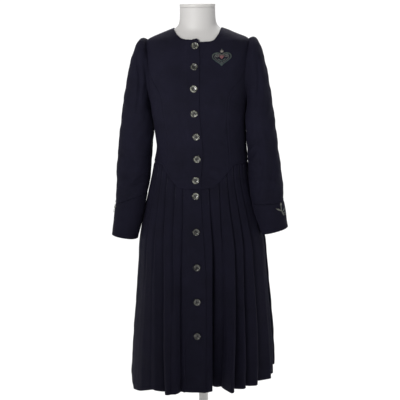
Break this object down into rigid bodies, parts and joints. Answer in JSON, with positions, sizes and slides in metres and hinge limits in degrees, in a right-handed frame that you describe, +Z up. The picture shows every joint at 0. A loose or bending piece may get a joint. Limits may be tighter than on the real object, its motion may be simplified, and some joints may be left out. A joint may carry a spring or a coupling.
{
  "type": "front-buttoned dirndl coat dress on a limbless dress form and stand",
  "caption": "Long-sleeved dirndl coat dress, buttoned down the front, with a pleated skirt, worn by a limbless dress form on a pole and round base.",
  "frame": {"origin": "centre of the stand base's underside, on the floor below the dress form's axis", "axes": "+Z up along the form's pole, the dress's front faces -Y, the wearer's left side is +X"},
  "size_m": [0.5618, 0.4111, 1.524],
  "materials": {
    "navy_cloth": "fine dark navy wool, matt with a soft sheen",
    "smoky_pearl": "smoky mother-of-pearl look, polished",
    "form_shell": "off-white, satin",
    "form_cap": "off-white, satin",
    "stand_paint": "off-white powder coat"
  },
  "bodies": {
    "root": {"bodice_front_right": "navy_cloth", "bodice_front_left": "navy_cloth", "bodice_side_front_right": "navy_cloth", "bodice_side_front_left": "navy_cloth", "bodice_side_back_right": "navy_cloth", "bodice_side_back_left": "navy_cloth", "bodice_back_right": "navy_cloth", "bodice_back_left": "navy_cloth", "sleeve_right": "navy_cloth", "sleeve_left": "navy_cloth", "cuff_right": "navy_cloth", "cuff_left": "navy_cloth", "skirt_front_right": "navy_cloth", "skirt_front_left": "navy_cloth", "skirt_back_right": "navy_cloth", "skirt_back_left": "navy_cloth", "button_01": "smoky_pearl", "button_02": "smoky_pearl", "button_03": "smoky_pearl", "button_04": "smoky_pearl", "button_05": "smoky_pearl", "button_06": "smoky_pearl", "button_07": "smoky_pearl", "button_08": "smoky_pearl", "button_09": "smoky_pearl", "button_10": "smoky_pearl", "button_11": "smoky_pearl", "button_12": "smoky_pearl", "form_torso": "form_shell", "form_neck_cap": "form_cap", "stand_pole": "stand_paint", "stand_base": "stand_paint"}
  },
  "joints": []
}
